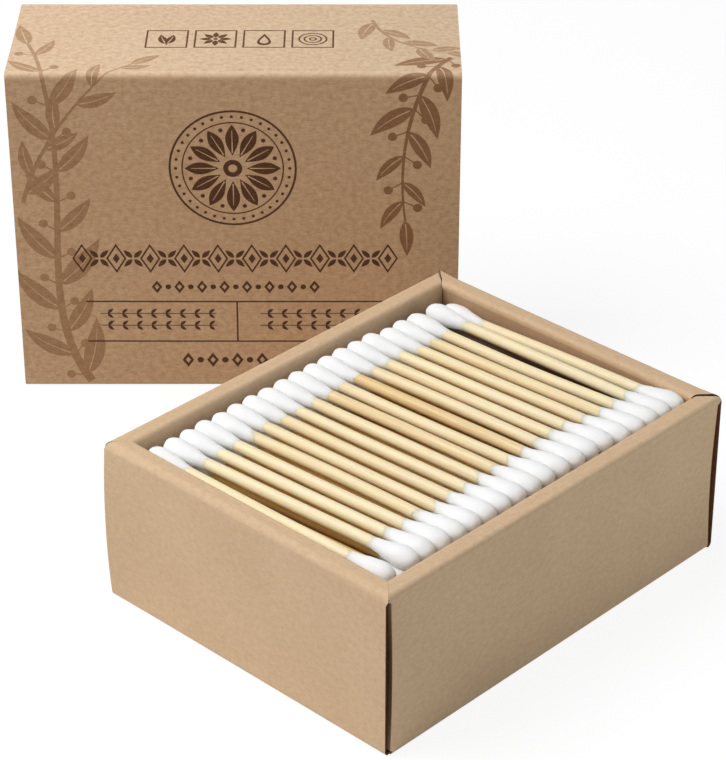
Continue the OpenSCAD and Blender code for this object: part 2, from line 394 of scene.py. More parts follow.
# The short walls' cut edges take the dark edge material, painted shade.
shortWall = dict(plainWall, length=trayWidth, bow=0.20, over=1.0, top=1.7, tabs=False, edgeSlot=3,
                 ends=(0.12, 0.12), pulls=(0, 0))
walls = (
    dict(longWall, at=lambda u, y: (u, y), openEnds=(False, True), seed=3.1),
    dict(longWall, at=lambda u, y: (u, trayWidth - y), openEnds=(False, True), seed=8.4, slants=(0, 1.1)),
    dict(shortWall, at=lambda u, y: (y, trayWidth - u), openEnds=(False, False), seed=5.7, ends=(0.12, 0.85),
         flare=1.1),
    dict(shortWall, at=lambda u, y: (trayLength - y, u), openEnds=(True, True), seed=6.2, slants=(0, -1.1),
         innerShade=0.6))


def ripple(u, v, size, seed):
    return noise.noise(Vector((u / size, v / size, seed)))


def wallPath(wall):
    # The section of a wall. The outer fold has the radius top, and the inner panel gets painted shade that deepens
    # downwards.
    fold, rim, height = board["fold"], board["rim"], trayHeight
    flat, top, shaded = trayCard["flat"], wall["top"], wall["innerShade"]
    path = arc(fold, fold, fold, 270, 180, 0.55)
    path += [(0, fold + flat, 0.0)] + steps((0, fold + flat), (0, height - top - flat), 11)
    path += [(0, height - top - flat, 0.0)] + arc(top, height - top, top, 180, 90, 0.9, 8)
    path += steps((top, height), (rim - fold - 0.6, height), 3, 0.1) + [(rim - fold - 0.6, height, 0.15)]
    path += arc(rim - fold, height - fold, fold, 90, 0, 0.9 - shaded)
    inner = [(rim, height - fold - flat)]
    inner += [p[:2] for p in steps(inner[0], (rim, board["foot"]), 9)] + [(rim, board["foot"])]
    return path + [(y, z, -shaded * min(1, (height - z) / trayCard["shadeReach"])) for y, z in inner]


def wallLift(wall):
    # How far the board stands off its flat place, outwards
    card, length, fold, height = trayCard, wall["length"], board["fold"], trayHeight

    def lift(u, y, z):
        arch = math.sin(math.pi * min(max(u / length, 0), 1)) ** 0.8
        wave = card["ripple"] * ripple(u, z + y, card["rippleSize"], wall["seed"]) * min(1, 4 * arch)
        if (y < 0.5 and z < height - fold) or (y < 2 * fold and z < fold):
            outwards = wall["flare"] * max(0, 1 - u / card["flareReach"]) ** 1.5
            return (wave - wall["bow"] * arch + outwards) * math.sin(math.pi * min(max(z / height, 0), 1)) ** 0.7
        if y > board["rim"] - 0.5 and z < height - fold:
            return (wave - card["innerBow"] * arch * (z / height)) * min(1, (height - z) / 5)
        curl = sum(max(0, 1 - (end - y) / card["curlReach"]) ** 2
                   for end, isOpen in zip((u, length - u), wall["openEnds"]) if isOpen)
        return (wave * 0.8 - 0.12 * arch + wall["over"] * card["curl"] * curl) * min(1, max(0.0, y) / 1.5 + 0.3)

    return lift


def wallSpan(wall):
    # Where a row of a wall starts and ends: the panel at its corner folds, the rim at its mitres. An open mitre
    # wavers, and a slanting one starts away from the corner.
    card, rim, fold, height, length = trayCard, board["rim"], board["fold"], trayHeight, wall["length"]

    def span(y, z):
        if (y < 0.01 and z < height - fold - 0.5) or (y < fold and z < height / 2):
            # Just below the rim the seam starts narrow, from the short wall's side.
            start = 1 if wall["tabs"] else min(1, max(card["seamStart"], (height - z) / card["seamTop"] - 0.3))
            low, high = (start * end + pull * math.sin(math.pi * z / height)
                         for end, pull in zip(wall["ends"], wall["pulls"]))
            return low, length - high
        # The seam closes towards the inner panels.
        tight = min(1, max(0.15, rim - y))
        low, high = (max(card["rimInset"], y + slant * (1 - y / rim) + (
            card["seamOpen"] * tight + card["seamWobble"] * tight * math.sin(1.5 * y) if isOpen else
            card["seamClosed"] * tight + card["cornerRound"] * max(0, 1 - y / 1.5) ** 2))
            for slant, isOpen in zip(wall["slants"], wall["openEnds"]))
        return low, length - high

    return span


def addCornerTab(book, place, length, atEnd):
    # The end of a long panel turns the corner and lies behind the panel of the short wall.
    card, fold, tabIn, tabLength = trayCard, trayCard["tabFold"], trayCard["tabIn"], trayCard["tabLength"]
    low, high = board["fold"] + card["tabPlay"], trayHeight - board["fold"] - card["tabPlay"]
    # Painted shade: the tab behind its fold is painted dark, and at the far end its fold's value paints it dark too.
    wear, dark = card["tabFoldWearAndShade"][atEnd], -card["tabShade"][atEnd]
    path = arc(tabIn + fold, fold, fold, 270, 180, wear) + [(tabIn, fold + 0.1, dark)]
    path += steps((tabIn, fold + 0.1), (tabIn, tabLength), 5, dark) + [(tabIn, tabLength, dark)]

    def span(across, y):
        slope = max(0.0, y - tabLength + 3) * 2
        return low + slope, high - slope

    def turned(points):
        # The row runs up the corner, and the section lies flat. Behind its fold the tab swings inwards, most at
        # half its height, which leaves a dark gap at the corner.
        up, x, y = points.T
        swing = card["tabSwing"] * np.sin(np.pi * np.clip((up - low) / (high - low), 0, 1)) ** 0.8
        x = x + card["tabPull"][atEnd] * np.sin(np.pi * up / trayHeight) + swing * np.clip(y / 1.2, 0, 1) ** 1.2
        return place(np.column_stack([length - x if atEnd else x, y, up]))

    addSlab(book, path, span, turned, 12)


def addWall(book, wall):
    def place(points):
        return inTray(np.column_stack([*wall["at"](points[:, 0], points[:, 1]), points[:, 2]]))

    addSlab(book, wallPath(wall), wallSpan(wall), place, 30, wallLift(wall), wall["edgeSlot"])
    for atEnd in (0, 1) if wall["tabs"] else ():
        addCornerTab(book, place, wall["length"], atEnd)


def makeTray():
    book = dict(points=[], faces=[], uvs=[], slots=[], wearAndShade=[])
    for wall in walls:
        addWall(book, wall)
    near, far = board["fold"], trayWidth - board["fold"]
    # Walked from far to near, so that its outer side is the lower one
    floorPath = [(far, 0, 0.4)] + steps((far, 0), (near, 0), 10) + [(near, 0, 0.4)]
    addSlab(book, floorPath, lambda y, z: (near, trayLength - near), inTray, 12)
    tray = finishSheet("trayCard", book, [kraft, shadedKraftInside, cutEdge, shadedEdge])
    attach(tray, "root")
    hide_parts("tray")
    print("tray folded:", len(tray.data.polygons), "faces")


makeTray()


# The artwork on the sleeve, in millimetres along and up its front, which runs on over the fold onto the top

def curve(a, b, c, d, count=18):
    t = np.linspace(0, 1, count)[:, None]
    a, b, c, d = (np.array(p, float) for p in (a, b, c, d))
    return (1 - t) ** 3 * a + 3 * (1 - t) ** 2 * t * b + 3 * (1 - t) * t ** 2 * c + t ** 3 * d


def stroke(line, widths):
    line = np.array(line, float)
    ahead = np.gradient(line, axis=0)
    ahead /= np.linalg.norm(ahead, axis=1)[:, None]
    side = np.column_stack([-ahead[:, 1], ahead[:, 0]]) * (np.broadcast_to(widths, len(line)) / 2)[:, None]
    return np.vstack([line + side, (line - side)[::-1]])


def disc(x, y, radius, count=28):
    angles = np.linspace(0, 2 * math.pi, count, endpoint=False)
    return np.column_stack([x + radius * np.cos(angles), y + radius * np.sin(angles)])


def box(x, y, width, height):
    return np.array([(x, y), (x + width, y), (x + width, y + height), (x, y + height)], float)


def around(middle, radius, angle):
    # The place at a distance and an angle from a middle
    a = math.radians(angle)
    return np.array(middle) + radius * np.array([math.cos(a), math.sin(a)])


def ring(x, y, radius, width, count):
    return [disc(x, y, radius, count), disc(x, y, radius - width, count)]


def lozenge(x, y, width, height):
    return np.array([(x - width / 2, y), (x, y - height / 2), (x + width / 2, y), (x, y + height / 2)], float)


def leaf(base, angle, length, width, droop=20.0, vein=True, blunt=0.8, count=12):
    # An outline round a bent midrib, with the vein left bare
    t = np.linspace(0, 1, count)
    heading = np.radians(angle - droop * t)
    steps = np.column_stack([np.cos(heading), np.sin(heading)]) * length / (count - 1)
    rib = np.array(base, float) + np.vstack([[0, 0], np.cumsum(steps[:-1], axis=0)])
    half = width * np.sin(np.pi * t ** blunt) ** 0.9
    loops = [stroke(rib, np.maximum(half, 0.05))]
    if vein:
        inside = rib[1:-2]
        loops.append(stroke(inside, np.linspace(0.34, 0.12, len(inside))))
    return loops


def sprig(stem, pairs, size, width, thick=1.0, spreadAngle=52, berries=False):
    # A stem with leaves in turn on its left and right, and with berries between them
    shapes = [[stroke(stem, np.linspace(thick, thick * 0.35, len(stem)))]]
    ahead = np.gradient(stem, axis=0)
    for k in range(pairs):
        share = (k + 0.6) / pairs
        i = int(share * (len(stem) - 1))
        angle = math.degrees(math.atan2(ahead[i][1], ahead[i][0]))
        side = 1 if k % 2 else -1
        long = size * (1.0 - 0.35 * share) * (1 + 0.12 * math.sin(5.1 * k))
        shapes.append(leaf(stem[i], angle + side * spreadAngle, long, width * long / size, side * 26))
        if berries:
            out = around((0, 0), 1, angle - side * (spreadAngle + 8))
            shapes += [[stroke(np.array([stem[i], stem[i] + 3.0 * out]), 0.35)],
                       [disc(*(stem[i] + 4.0 * out), 1.15, 18)]]
    angle = math.degrees(math.atan2(ahead[-1][1], ahead[-1][0]))
    return shapes + [leaf(stem[-1], angle, size * 0.7, width * 0.75, 8)]


def rosette(x, y, radius, petals=12, dots=36):
    shapes = [ring(x, y, radius, 0.55, 72), ring(x, y, radius * 0.80, 0.35, 72)]
    shapes += [[disc(*around((x, y), radius * 0.89, 360 * k / dots), 0.42, 10)] for k in range(dots)]
    for k in range(petals):
        a = 360 * k / petals
        shapes += [leaf(around((x, y), radius * 0.22, a), a, radius * 0.53, 3.3, 0, blunt=1.15),
                   [disc(*around((x, y), radius * 0.68, a + 15), 0.55, 12)]]
    return shapes + [[disc(x, y, radius * 0.15, 24), disc(x, y, radius * 0.07, 16)]]


def chain(x, y, width, height, count):
    # Open lozenges with a small one inside each, and four leaves between them
    shapes = []
    step = width / count
    inner = 1 - 2 * 0.85 / height
    for k in range(count):
        cx = x + (k + 0.5) * step
        wide = step * 0.60
        shapes += [[lozenge(cx, y, wide, height), lozenge(cx, y, wide * inner, height * inner)],
                   [lozenge(cx, y, wide * 0.36, height * 0.34)]]
        if k < count - 1:
            shapes += [leaf(around((cx + step / 2, y), 0.35, a), a, height * 0.36, 1.25, 0, vein=False, count=8)
                       for a in (45, 135, 225, 315)]
    return shapes


def smallChain(x, y, width, height, count):
    # Small open lozenges and dots in turn
    shapes = []
    step = width / count
    for k in range(count):
        cx = x + (k + 0.5) * step
        shapes.append([disc(cx, y, height * 0.2, 12)] if k % 2 else
                      [lozenge(cx, y, step * 0.95, height), lozenge(cx, y, step * 0.42, height * 0.42)])
    return shapes


def garland(x, y, width, count):
    # Small pairs of leaves along a thin line
    return [[box(x, y - 0.12, width, 0.24)]] + [
        leaf((x + width * (k + 0.5) / count, y + side * 0.1), side * 48, 1.9, 0.85, side * 20, vein=False, count=7)
        for k in range(count) for side in (1, -1)]


def badge(x, y, size, figure):
    # A square frame with a plain figure in it
    shapes = [[box(x, y, size, size), box(x + 0.45, y + 0.45, size - 0.9, size - 0.9)]]
    cx, cy = x + size / 2, y + size / 2
    if figure == "flower":
        shapes += [leaf(around((cx, cy), 0.9, a), a, 3.1, 1.5, 0, vein=False, count=8) for a in range(0, 360, 45)]
        shapes.append([disc(cx, cy, 0.6, 12)])
    elif figure == "rings":
        shapes += [ring(cx, cy, radius, 0.45, 30) for radius in (3.6, 2.3, 1.0)]
    elif figure == "drop":
        turn = np.linspace(0, 2 * math.pi, 26, endpoint=False)
        drop = np.column_stack([cx + 2.5 * np.sin(turn) * np.sin(turn / 2) ** 1.6, cy - 0.3 + 3.5 * np.cos(turn)])
        core = np.array([cx, cy - 0.9])
        shapes.append([drop, (drop - core) * 0.62 + core])
    else:
        shapes += [leaf((cx, cy - 2.9), 90 - side * 26, 5.6, 2.3, -side * 22) for side in (1, -1)]
        shapes.append([box(cx - 0.15, cy - 3.8, 0.3, 2.0)])
    return shapes


def artwork():
    # All shapes of the artwork as a tone and its loops, the later ones on top
    light, middle, dark = 0.33, 0.66, 1.0
    inked = [
        # A branch that rises from the lower left and leans over onto the top
        (light, sprig(curve((17, 1.5), (1, 26), (20, 60), (4, 104), 40), 13, 17, 5.2, 2.3, berries=True)),
        (light, sprig(curve((2.5, 52), (6, 66), (16, 80), (30, 92)), 7, 12, 4.0, 1.1, spreadAngle=44)),
        # A smaller one that hangs down at the right
        (middle, sprig(curve((107, 96), (100, 86), (93, 70), (96, 47), 26), 9, 14, 4.6, 1.4, berries=True)),
        (light, sprig(curve((88, 118), (90, 109), (95, 102), (106, 99)), 6, 11, 4.0, 1.0, spreadAngle=44)),
        (dark, rosette(54, 61.5, 15.6)), (dark, chain(12, 36.6, 84, 8.2, 10)),
        (dark, smallChain(33, 28.6, 42, 3.6, 15)),
        (dark, [[box(16.5, 24.2, 80, 0.42)], [box(16.5, 12.8, 80, 0.42)], [box(54, 12.8, 0.42, 11.6)]])]
    inked += [(dark, garland(x, y, 29, 8)) for x in (20, 60) for y in (21.0, 17.6)]
    inked.append((dark, smallChain(40, 7.6, 28, 4.2, 9)))
    inked += [(dark, badge(32.5 + 11.9 * k, 101.5, 10.4, figure))
              for k, figure in enumerate(("leaf", "flower", "drop", "rings"))]
    return [(tone, loops) for tone, group in inked for loops in group]


# The sleeve: a tube of board, with the flap of its seam inside the back

sleeveCard = dict(flap=14, edgeLift=0.15, pinch=0.35, ripple=0.06, rippleSize=21, columnEvery=7.5, rowEvery=8.0,
                  flat=0.9)
sleeveLength = (sleeveHigh.x - sleeveLow.x) / mm
sleeveDepth = (sleeveHigh.y - sleeveLow.y) / mm
sleeveHeight = (sleeveHigh.z - sleeveLow.z) / mm


def sleevePath():
    # Up from the flap's free edge inside the back, under the foot, over the front and the top, and down the back
    fold, thick = board["fold"], board["thick"]
    depth, height = sleeveDepth, sleeveHeight
    near, far = fold + sleeveCard["flat"], depth - fold - sleeveCard["flat"]

    def panel(start, end):
        count = max(1, int(math.dist(start, end) / sleeveCard["rowEvery"]))
        return [start + (0.0,)] + steps(start, end, count) + [end + (0.0,)]

    path = panel((depth - thick, sleeveCard["flap"]), (depth - thick, fold))[:-1]
    path += arc(depth - thick - fold, fold, fold, 0, -90, 0.8) + panel((far - thick, 0), (near, 0))
    path += arc(fold, fold, fold, 270, 180, 0.8) + panel((0, near), (0, height - near))
    path += arc(fold, height - fold, fold, 180, 90, 1.0) + panel((near, height), (far, height))
    path += arc(depth - fold, height - fold, fold, 90, 0, 0.9)
    return path + panel((depth, height - near), (depth, sleeveCard["edgeLift"]))


def inkOf(middles, shapes):
    # The tone of ink at each place. The loops of a shape are counted even and odd, and later shapes lie on top.
    tones = np.zeros(len(middles))
    for tone, loops in shapes:
        low, high = np.vstack(loops).min(0), np.vstack(loops).max(0)
        near = np.nonzero(((middles >= low) & (middles <= high)).all(1))[0]
        inside = np.zeros(len(near), bool)
        x, y = middles[near, 0], middles[near, 1]
        for loop in loops:
            following = np.roll(loop, -1, axis=0)
            for (x0, y0), (x1, y1) in zip(loop, following):
                if y0 != y1:
                    inside ^= ((y0 > y) != (y1 > y)) & (x < (x1 - x0) * (y - y0) / (y1 - y0) + x0)
        tones[near[inside]] = tone
    return tones


def cutSheet(width, runs, columns, shapes, shiftUp):
    # Cuts the flat sheet along its rows, its columns and every outline of the artwork
    points, edges = [], []
    for s in runs:
        edges.append((len(points), len(points) + 1))
        points += [(0.0, s), (width, s)]
    for x in np.linspace(0, width, columns + 1):
        edges.append((len(points), len(points) + 1))
        points += [(x, runs[0]), (x, runs[-1])]
    for loop in (loop for tone, loops in shapes for loop in loops):
        first = len(points)
        points += [(min(max(x, 0.05), width - 0.05), y + shiftUp) for x, y in loop]
        edges += [(first + k, first + (k + 1) % len(loop)) for k in range(len(loop))]
    cut = delaunay_2d_cdt([Vector(p) for p in points], edges, [], 0, 1e-4, False)
    return np.array([tuple(p) for p in cut[0]]), cut[2]


def makeSleeve():
    card = sleeveCard
    path = np.array(sleevePath(), float)
    flat = path[:, :2]
    runs = pathRuns(flat)
    frontFoot = np.nonzero(np.abs(flat - [0, board["fold"]]).max(1) < 1e-6)[0][0]
    shiftUp = runs[frontFoot] - board["fold"]
    shapes = artwork()
    sheet, faces = cutSheet(sleeveLength, runs, int(sleeveLength / card["columnEvery"]), shapes, shiftUp)
    tones = inkOf(sheet[np.array(faces)].mean(1) - [0, shiftUp], shapes)
    # Each panel pinches in, most at the open ends, and waves a little. The foot stays flat.
    y, z, ny, nz, wearAndShade = (np.interp(sheet[:, 1], runs, row) for row in (*flat.T, *leftNormals(flat).T, path[:, 2]))
    middleY, middleZ = abs(2 * y / sleeveDepth - 1), abs(2 * z / sleeveHeight - 1)
    panel = np.cos(np.pi / 2 * np.where(middleY > 0.97, middleZ, middleY))
    ends = abs(2 * sheet[:, 0] / sleeveLength - 1) ** 2
    waves = np.array([ripple(a, b, card["rippleSize"], 2.5) for a, b in sheet]) * card["ripple"]
    rise = panel * (waves - card["pinch"] * (0.25 + 0.75 * ends))
    rise = np.where(z < board["fold"], 0.0, rise)
    points = inSleeve(np.column_stack([sheet[:, 0], y + ny * rise, z + nz * rise]))
    mesh = bpy.data.meshes.new("sleeveCard")
    mesh.from_pydata(points.tolist(), [], faces)
    paintSheet(mesh, sheet / 100, wearAndShade, (printedKraft, kraftInside, cutEdge))
    paint(mesh, "ink", tones, "FACE")
    front = next(p for p in mesh.polygons if p.center.y < sleeveLow.y + 1e-5)
    if front.normal.y > 0:
        mesh.flip_normals()
    sleeve = show("sleeveCard", mesh)
    wall = sleeve.modifiers.new("wall", "SOLIDIFY")
    wall.thickness = board["thick"] * mm
    wall.offset = -1
    wall.material_offset = 1
    wall.material_offset_rim = 2
    solid = realMesh(sleeve)
    sleeve.modifiers.clear()
    sleeve.data = solid
    solid.set_sharp_from_angle(angle=board["sharp"])
    solid.name = "sleeveCard"
    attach(sleeve, "root")
    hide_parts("sleeve")
    print("sleeve cut and folded:", len(solid.polygons), "faces, with", len(shapes), "printed shapes")


makeSleeve()


# The swabs

def layerX(layer, k):
    return firstX + (k + 0.5 * (layer % 2)) * pitch


def shift(angle):
    # How far the widest place of a head moves aside at an angle
    return reach * math.tan(math.radians(angle))


def topPlaces():
    # The place, the angle and the tilt of each swab of the top layer. The place comes from its solid, and the
    # others from the rule of the row: each end rests on the heads below.
    first, most, pair, end = (shift(packing[k]) for k in ("firstLean", "topLean", "pairLean", "lastLean"))
    count = swab["perLayer"]
    startX, lastX = sideRoom + first, innerLength - sideRoom - end
    pairX = lastX - clear - (pair - end)
    group = np.linspace(startX + clear + packing["firstGap"] + most - first,
                        pairX - clear - packing["looseGap"] - (most - pair), count - 3)
    middles = [startX, *group, pairX, lastX]
    angles = [packing["firstLean"]] + [packing["topLean"]] * (count - 3) + [packing["pairLean"], packing["lastLean"]]
    places = []
    for k, (x, angle) in enumerate(zip(middles, angles)):
        rises = []
        for side in (1, -1):
            off = x + side * shift(angle) - side * leanRun - layerX(swab["layers"] - 1, 0)
            beside = off - pitch * max(0, min(count - 1, round(off / pitch)))
            rises.append(math.sqrt(max(0, clear ** 2 - beside ** 2)))
        tilt = 0 if k == 0 else math.degrees(math.atan((rises[0] - rises[1]) / (2 * reach)))
        low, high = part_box("top_stick_%02d" % (k + 1))
        places.append((tuple((low + high) / 2), angle, tilt))
    return places


def lowerPlaces(layers):
    places = []
    for layer in layers:
        low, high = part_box("sticks_layer_%d" % layer)
        height = ((low.z + high.z) / 2 - trayLow.z) / mm
        kept = [k for k in range(swab["perLayer"])
                if layer < swab["layers"] - 1 or k != swab["perLayer"] - packing["missingPlace"]]
        row = inTray([(board["rim"] + layerX(layer, k), trayWidth / 2, height) for k in kept])
        places += [(tuple(p), packing["lean"], 0) for p in row]
    return places


def swabPoints(name, places, look):
    # One point for each swab, with its direction, its bend and its tone; in the lower layers the tone also holds
    # painted warm bounce light and painted shade
    random = np.random.default_rng(look["seed"])
    mesh = bpy.data.meshes.new(name)
    mesh.from_pydata([p for p, angle, tilt in places], [], [])
    count = len(places)
    turn = [(-math.radians(tilt), 0, trayTurn + math.radians(angle)) for p, angle, tilt in places]
    roll = random.uniform(0, 2 * math.pi, count)
    tone = look["toneFrom"] + random.beta(1.6, 3.2, count) * 0.45
    bend = random.normal(0, look["bend"], (count, 3)) * [1, 0, 0.35]
    for k, value in look["toneAndShadeAt"].items():
        tone[k] = value
    for k, value in look["bendAt"].items():
        bend[k, 0] = value
    for label, values in (("turn", turn), ("bend", bend), ("roll", roll), ("tone", tone)):
        paint(mesh, label, values)
    return show(name, mesh)


def lathe(name, profile, sides):
    # A closed turned shape along Y. Along is 0 at its first point and 1 at its last.
    profile = np.array(profile)
    runs = pathRuns(profile)
    angles = 2 * math.pi * np.arange(sides) / sides
    rings = [np.column_stack([r * np.cos(angles), np.full(sides, y), r * np.sin(angles)]) for r, y in profile]
    faces = [(i + k, i + sides + k, i + sides + (k + 1) % sides, i + (k + 1) % sides)
             for i in range(0, (len(profile) - 1) * sides, sides) for k in range(sides)]
    last = (len(profile) - 1) * sides
    faces += [tuple(range(sides)), tuple(range(last, last + sides))[::-1]]
    mesh = bpy.data.meshes.new(name)
    mesh.from_pydata(np.vstack(rings).tolist(), [], faces)
    paint(mesh, "along", np.repeat(runs / runs[-1], sides))
    mesh.polygons.foreach_set("use_smooth", [True] * (len(mesh.polygons) - 2) + [False] * 2)
    return show(name, mesh)


def swabTree(name):
    # Lays one turned shape at every point, turns, bends and roughens it, and makes it real
    tree = bpy.data.node_groups.new(name, "GeometryNodeTree")
    numbers = ("Girth Scatter", "Length Scatter", "Swab Length", "Lump Height", "Lump Scale", "Lump Fade",
               "Offset Along", "Flip")
    kinds = {"Places": "Geometry", "Shape": "Object", "Material": "Material", "Seed": "Int",
             **dict.fromkeys(numbers, "Float")}
    for label, kind in kinds.items():
        tree.interface.new_socket(label, in_out="INPUT", socket_type="NodeSocket" + kind)
    tree.interface.new_socket("Swabs", in_out="OUTPUT", socket_type="NodeSocketGeometry")
    inside = putNode(tree, "NodeGroupInput").outputs

    def named(label, kind="FLOAT"):
        return putNode(tree, "GeometryNodeInputNamedAttribute", {"Name": label}, data_type=kind).outputs[0]

    def vector(operation, first, second=None, scale=None):
        return putNode(tree, "ShaderNodeVectorMath", {0: first, 1: second, 3: scale},
                       operation=operation).outputs[0]

    def combine(x, y, z):
        return putNode(tree, "ShaderNodeCombineXYZ", {"X": x, "Y": y, "Z": z}).outputs[0]

    def scatter(low, high, seed):
        made = putNode(tree, "FunctionNodeRandomValue", {"Min": low, "Max": high, "Seed": seed}, data_type="FLOAT")
        return next(s for s in made.outputs if s.type == "VALUE")

    turn = putNode(tree, "FunctionNodeEulerToRotation", {"Euler": named("turn", "FLOAT_VECTOR")}).outputs[0]
    shape = putNode(tree, "GeometryNodeObjectInfo", {"Object": inside["Shape"], "As Instance": True})
    # The turned shape is put along the swab's own Y and flipped for the other end.
    moved = putNode(tree, "GeometryNodeTransform", {
        "Geometry": shape.outputs["Geometry"], "Translation": combine(0.0, inside["Offset Along"], 0.0)})
    flipped = putNode(tree, "GeometryNodeTransform", {
        "Geometry": moved.outputs[0], "Rotation": combine(0.0, 0.0, inside["Flip"])})
    girth = scatter(calc(tree, "SUBTRACT", 1.0, inside["Girth Scatter"]),
                    calc(tree, "ADD", 1.0, inside["Girth Scatter"]), inside["Seed"])
    stretch = scatter(calc(tree, "SUBTRACT", 1.0, inside["Length Scatter"]), 1.0,
                      calc(tree, "ADD", inside["Seed"], 7))
    laid = putNode(tree, "GeometryNodeInstanceOnPoints", {
        "Points": inside["Places"], "Instance": flipped.outputs[0], "Rotation": turn,
        "Scale": combine(girth, stretch, girth)})
    real = putNode(tree, "GeometryNodeRealizeInstances", {"Geometry": laid.outputs[0]})
    lump = putNode(tree, "ShaderNodeTexNoise", {
        "Vector": vector("ADD", putNode(tree, "GeometryNodeInputPosition").outputs[0],
                         combine(named("roll"), named("tone"), named("roll"))),
        "Scale": inside["Lump Scale"], "Detail": 2.0})
    # The lumps of a head end before its neck, which lies inside the stick.
    faded = times(tree, inside["Lump Fade"], spread(tree, named("along"), 0.9, 1.0))
    shake = vector("SCALE", vector("SUBTRACT", lump.outputs["Color"], (0.5, 0.5, 0.5)),
                   scale=times(tree, inside["Lump Height"], calc(tree, "SUBTRACT", 1.0, faded)))
    # The bend is nothing at the heads and full at the middle of the stick.
    arch = calc(tree, "POWER", calc(tree, "SINE", times(tree, named("along"), math.pi)), 2.0)
    turned = putNode(tree, "FunctionNodeRotateVector", {"Vector": named("bend", "FLOAT_VECTOR"), "Rotation": turn})
    bent = vector("SCALE", turned.outputs[0], scale=times(tree, arch, inside["Swab Length"]))
    settled = putNode(tree, "GeometryNodeSetPosition", {"Geometry": real.outputs[0],
                                                        "Offset": vector("ADD", shake, bent)})
    coated = putNode(tree, "GeometryNodeSetMaterial", {"Geometry": settled.outputs[0],
                                                       "Material": inside["Material"]})
    tree.links.new(coated.outputs[0], putNode(tree, "NodeGroupOutput").inputs[0])
    return tree


layTree = swabTree("laySwabs")


def laySwabs(name, places, shape, inputs):
    # Runs the tree on a copy of the places and keeps the plain mesh
    held = show(name + "Places", places.data)
    modifier = held.modifiers.new("lay", "NODES")
    modifier.node_group = layTree
    values = dict(inputs, Shape=shape)
    for item in layTree.interface.items_tree:
        if item.in_out == "INPUT" and item.name in values:
            modifier[item.identifier] = values[item.name]
    mesh = realMesh(held)
    bpy.data.objects.remove(held)
    return mesh


def joined(name, meshes, material):
    # Joins plain meshes into one piece
    parts = [show(name, mesh) for mesh in meshes]
    with bpy.context.temp_override(active_object=parts[0], selected_editable_objects=parts):
        bpy.ops.object.join()
    piece = parts[0]
    piece.name = piece.data.name = name
    piece.data.materials.clear()
    piece.data.materials.append(material)
    return piece


cottonLook = dict(white=(0.95, 0.955, 0.955, 1), shadow=(0.92, 0.925, 0.925, 1), neck=shade((244, 234, 208)),
                  deepShade=shade((120, 100, 78)), fibre=0.00005)
bambooLook = dict(pale=shade((249, 235, 199)), warm=shade((224, 185, 116)), streak=shade((202, 162, 102)),
                  dark=shade((132, 96, 56)), deepShade=shade((104, 66, 34)), grain=0.00003)


def deepShadeShare(tree):
    # Painted shade: the deep layers carry a high tone and are painted darker, standing in for the others' shade.
    return spread(tree, painted(tree, "tone"), 2.0, 2.8)


def cottonMaterial():
    look = cottonLook
    material, tree, shader = newMaterial(
        "cotton", 0.95, 0.1, Sheen_Weight=0.3, Sheen_Roughness=0.6, Subsurface_Weight=0.85,
        Subsurface_Radius=(1, 1, 1), Subsurface_Scale=0.0025)
    place = objectPlace(tree)
    fluff = cloud(tree, place, 900, 4, 0.7, 0.6)
    wad = cloud(tree, place, 240, 3, 0.6, 0.4)
    # Near its end the cotton is thin, and the stick shows through.
    thin = calc(tree, "MULTIPLY_ADD", calc(tree, "SUBTRACT", wad, 0.5), 0.22, painted(tree, "along"))
    colour = layered(tree, look["white"], look, [
        (spread(tree, fluff, 0.3, 0.7), 0.5, "shadow"), (spread(tree, thin, 0.80, 0.98), 1.0, "neck"),
        (deepShadeShare(tree), 1.0, "deepShade")])
    height = calc(tree, "MULTIPLY_ADD", wad, 1.6, times(tree, fluff, 0.8))
    finishShader(tree, shader, colour, height, look["fibre"], 0.7)
    return material


def bambooMaterial():
    look = bambooLook
    material, tree, shader = newMaterial("bamboo", 0.5, 0.35, Subsurface_Weight=0.35, Subsurface_Scale=0.0012,
                                         Subsurface_Radius=(1, 0.45, 0.15))
    # The grain runs along the sticks, so the place is turned until Y runs along them.
    turned = stretched(tree, objectPlace(tree), (1, 1, 1), -math.degrees(trayTurn) - packing["lean"])
    grain = cloud(tree, stretched(tree, turned, (2600, 60, 2600)), 1.0, 3, 0.65)
    vessel = cloud(tree, stretched(tree, turned, (1500, 26, 1500)), 1.0, 2, 0.5)
    fleck = cloud(tree, stretched(tree, turned, (3400, 220, 3400)), 1.0, 1, 0.5)
    # The sticks are warmer towards the back ends.
    tone = times(tree, painted(tree, "tone"), spread(tree, painted(tree, "along"), 0.0, 0.75, 0.5, 1.0))
    strength = calc(tree, "MULTIPLY_ADD", tone, 0.55, 0.10)
    colour = layered(tree, look["pale"], look, [
        (tone, 1.0, "warm"), (spread(tree, grain, 0.48, 0.68), strength, "streak"),
        (spread(tree, vessel, 0.55, 0.70), strength, "warm"),
        (spread(tree, fleck, 0.70, 0.78), times(tree, strength, 0.7), "dark"), (deepShadeShare(tree), 1.0, "deepShade")])
    height = calc(tree, "MULTIPLY_ADD", grain, 0.7, times(tree, vessel, 0.5))
    finishShader(tree, shader, colour, height, look["grain"], 0.6)
    return material


cotton = cottonMaterial()
bamboo = bambooMaterial()


